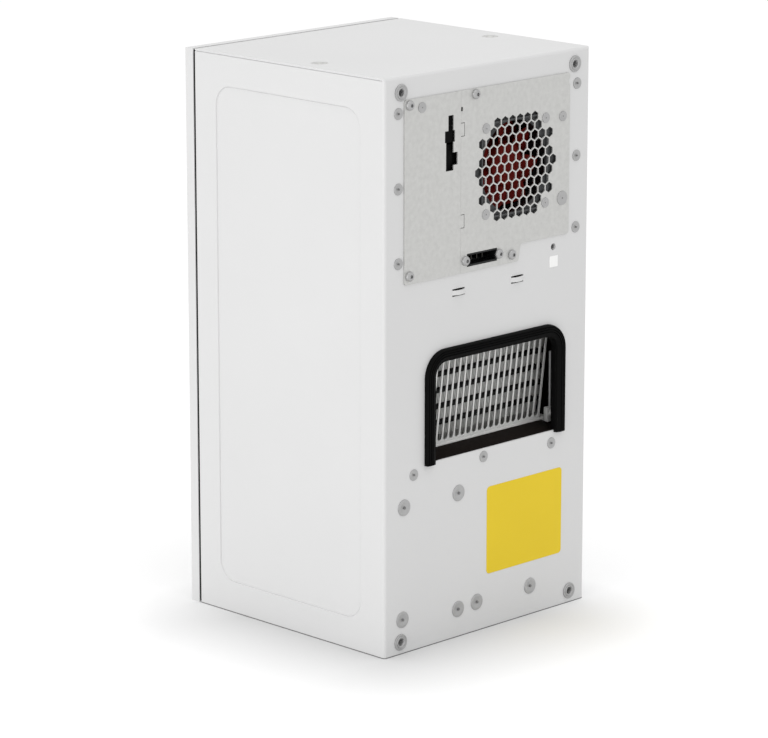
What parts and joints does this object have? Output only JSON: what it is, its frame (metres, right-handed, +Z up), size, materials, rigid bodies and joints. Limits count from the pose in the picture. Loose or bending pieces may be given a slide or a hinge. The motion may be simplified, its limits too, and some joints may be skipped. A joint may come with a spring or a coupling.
{
  "type": "enclosure air conditioner",
  "caption": "Slim upright air conditioner for an electrical enclosure: rear fan guard, cold-air outlet over a finned coil, louvred front grilles and a control strip.",
  "frame": {"origin": "middle of the footprint on the floor plane", "axes": "+Z up, front with the control strip towards -Y, enclosure side towards +Y, +X to the right seen from the front"},
  "size_m": [0.28, 0.277, 0.555],
  "materials": {
    "cabinet_paint": "satin light grey powder coat",
    "galvanised": "dull zinc",
    "zinc_fastener": "satin zinc",
    "black_rubber": "matte",
    "black_foam": "open foam",
    "black_plastic": "fine grain",
    "rotor_red": "dark red moulding",
    "fin_aluminium": "bright rolled",
    "copper": "dull copper",
    "tray_grey": "satin light grey",
    "board_green": "solder mask",
    "compressor_black": "semi-gloss black paint",
    "grille_grey": "fine grain light grey",
    "filter_fleece": "open fleece",
    "display_glass": "dark tinted",
    "key_rubber": "soft touch dark grey",
    "pin_metal": "tin plated"
  },
  "bodies": {
    "cabinet": {"housing_shell": "cabinet_paint", "base_pan": "galvanised", "front_panel": "cabinet_paint", "front_seal": "black_foam", "panel_clips": "zinc_fastener", "electronics_cover": "galvanised", "fan_plate": "galvanised", "plate_screws": "zinc_fastener", "side_panels": "cabinet_paint", "mounting_rivet_nuts": "zinc_fastener", "lifting_inserts": "zinc_fastener", "earth_nut": "zinc_fastener", "edge_rivets": "zinc_fastener", "bracket_rivets": "zinc_fastener", "fan_rivets": "zinc_fastener", "rear_brackets": "galvanised", "outlet_edge_seal": "black_rubber", "mains_connector": "black_plastic", "mains_pins": "pin_metal", "electronics_box": "galvanised", "controller_board": "board_green", "signal_terminal": "black_plastic", "fan_gasket": "black_foam", "evaporator_fan_frame": "black_plastic", "evaporator_fins": "fin_aluminium", "evaporator_end_plates": "galvanised", "evaporator_tubes": "copper", "drip_tray": "tray_grey", "drain_tube": "black_plastic", "outlet_foam": "black_foam", "partition": "galvanised", "air_baffle": "galvanised", "sensor_clip": "tray_grey", "temperature_sensor": "black_plastic", "compressor": "compressor_black", "compressor_base": "compressor_black", "compressor_grommets": "black_rubber", "compressor_bolts": "zinc_fastener", "suction_line": "copper", "discharge_line": "copper", "filter_drier": "copper", "liquid_line": "copper", "capillary_tube": "copper", "condenser_fins": "fin_aluminium", "condenser_end_plates": "galvanised", "condenser_headers": "fin_aluminium", "fan_shroud": "galvanised", "condenser_fan_frame": "black_plastic", "exhaust_grille": "grille_grey", "exhaust_clips": "zinc_fastener", "control_bezel": "black_plastic", "display_window": "display_glass", "control_board": "board_green"},
    "evaporator_rotor": {"evaporator_fan_rotor": "rotor_red"},
    "condenser_rotor": {"condenser_fan_rotor": "black_plastic"},
    "intake_cover": {"intake_grille": "grille_grey", "filter_mat": "filter_fleece"},
    "set_key": {"key_set": "key_rubber"},
    "down_key": {"key_down": "key_rubber"},
    "up_key": {"key_up": "key_rubber"}
  },
  "joints": [
    {"name": "evaporator_fan_spin", "type": "hinge", "parent": "cabinet", "child": "evaporator_rotor", "pos_m": [-0.0357, 0.11, 0.4517], "axis": [0, 1, 0], "continuous": true},
    {"name": "condenser_fan_spin", "type": "hinge", "parent": "cabinet", "child": "condenser_rotor", "pos_m": [0, -0.06, 0.16], "axis": [0, 1, 0], "continuous": true},
    {"name": "intake_grille_pull", "type": "slide", "parent": "cabinet", "child": "intake_cover", "axis": [0, -1, 0], "range_m": [0, 0.04]},
    {"name": "key_set_press", "type": "slide", "parent": "cabinet", "child": "set_key", "axis": [0, 1, 0], "range_m": [0, 0.001], "stiffness_N_per_m": 800, "springref_m": -0.001},
    {"name": "key_down_press", "type": "slide", "parent": "cabinet", "child": "down_key", "axis": [0, 1, 0], "range_m": [0, 0.001], "stiffness_N_per_m": 800, "springref_m": -0.001},
    {"name": "key_up_press", "type": "slide", "parent": "cabinet", "child": "up_key", "axis": [0, 1, 0], "range_m": [0, 0.001], "stiffness_N_per_m": 800, "springref_m": -0.001}
  ]
}
